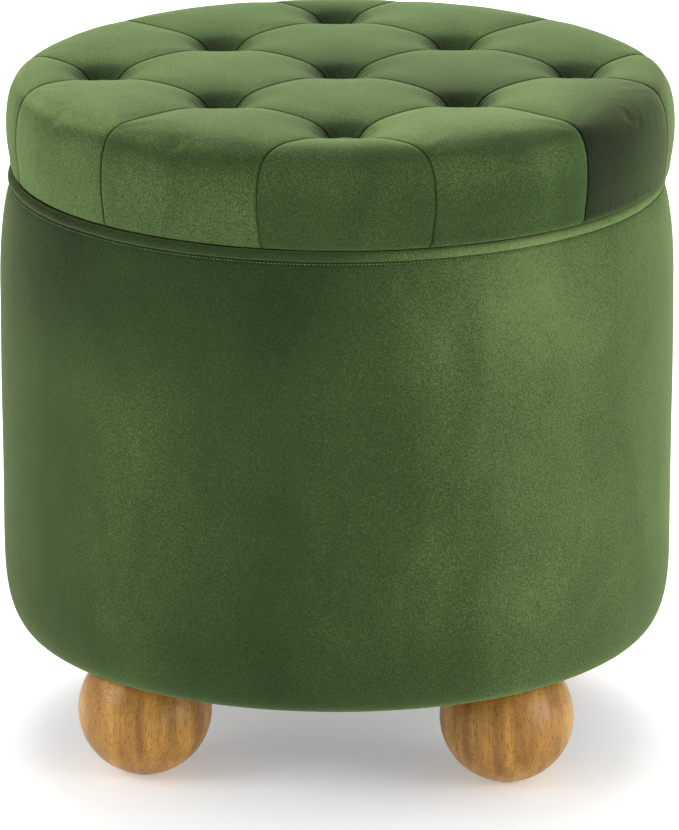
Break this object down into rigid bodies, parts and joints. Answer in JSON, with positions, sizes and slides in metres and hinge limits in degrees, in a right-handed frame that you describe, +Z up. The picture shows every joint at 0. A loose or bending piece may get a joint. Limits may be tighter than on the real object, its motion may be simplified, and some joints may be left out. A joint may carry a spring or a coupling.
{
  "type": "ottoman with storage",
  "caption": "Round upholstered drum ottoman on ball feet, hollow for storage, with a button-tufted padded lid that lifts off the piped rim.",
  "frame": {"origin": "on the floor, on the drum's axis", "axes": "+Z up along the drum's axis; the front is towards -Y, so the feet stand at 45 degrees either side of it"},
  "size_m": [0.486, 0.486, 0.492],
  "materials": {
    "velvet": "cotton velvet, short pile",
    "lacquered_wood": "turned rubberwood, satin lacquer",
    "plywood": "raw birch plywood",
    "pine": "raw sawn pine",
    "hardboard": "bent hardboard, smooth face out",
    "lined_hardboard": "hardboard faced with black non-woven lining",
    "foam": "polyurethane foam",
    "lining_cloth": "black non-woven dust cloth",
    "felt": "brown wool felt",
    "zinc_steel": "zinc-plated steel",
    "twine": "waxed upholstery twine"
  },
  "bodies": {
    "drum": {"base_board": "plywood", "bottom_hoop": "plywood", "top_hoop": "plywood", "upright_1": "pine", "upright_2": "pine", "upright_3": "pine", "upright_4": "pine", "upright_5": "pine", "upright_6": "pine", "outer_wall_panel": "hardboard", "inner_wall_panel": "lined_hardboard", "cavity_floor": "lined_hardboard", "dust_cover": "lining_cloth", "wall_foam": "foam", "wall_cover": "velvet", "rim_piping": "velvet", "foot_front_right": "lacquered_wood", "foot_pad_front_right": "felt", "hanger_bolt_front_right": "zinc_steel", "tee_nut_front_right": "zinc_steel", "foot_back_right": "lacquered_wood", "foot_pad_back_right": "felt", "hanger_bolt_back_right": "zinc_steel", "tee_nut_back_right": "zinc_steel", "foot_back_left": "lacquered_wood", "foot_pad_back_left": "felt", "hanger_bolt_back_left": "zinc_steel", "tee_nut_back_left": "zinc_steel", "foot_front_left": "lacquered_wood", "foot_pad_front_left": "felt", "hanger_bolt_front_left": "zinc_steel", "tee_nut_front_left": "zinc_steel"},
    "lid": {"lid_board": "plywood", "lid_lining": "lining_cloth", "locating_disc": "plywood", "lid_foam": "foam", "lid_cover": "velvet", "tuft_button_1": "velvet", "tuft_button_2": "velvet", "tuft_button_3": "velvet", "tuft_button_4": "velvet", "tuft_button_5": "velvet", "tuft_button_6": "velvet", "tuft_button_7": "velvet", "tuft_button_8": "velvet", "tuft_button_9": "velvet", "tuft_twine_1": "twine", "tuft_twine_2": "twine", "tuft_twine_3": "twine", "tuft_twine_4": "twine", "tuft_twine_5": "twine", "tuft_twine_6": "twine", "tuft_twine_7": "twine", "tuft_twine_8": "twine", "tuft_twine_9": "twine", "disc_screw_1": "zinc_steel", "disc_screw_2": "zinc_steel", "disc_screw_3": "zinc_steel", "disc_screw_4": "zinc_steel"}
  },
  "joints": [
    {"name": "lid_lift", "type": "slide", "parent": "drum", "child": "lid", "axis": [0, 0, 1], "range_m": [0, 0.45]}
  ]
}
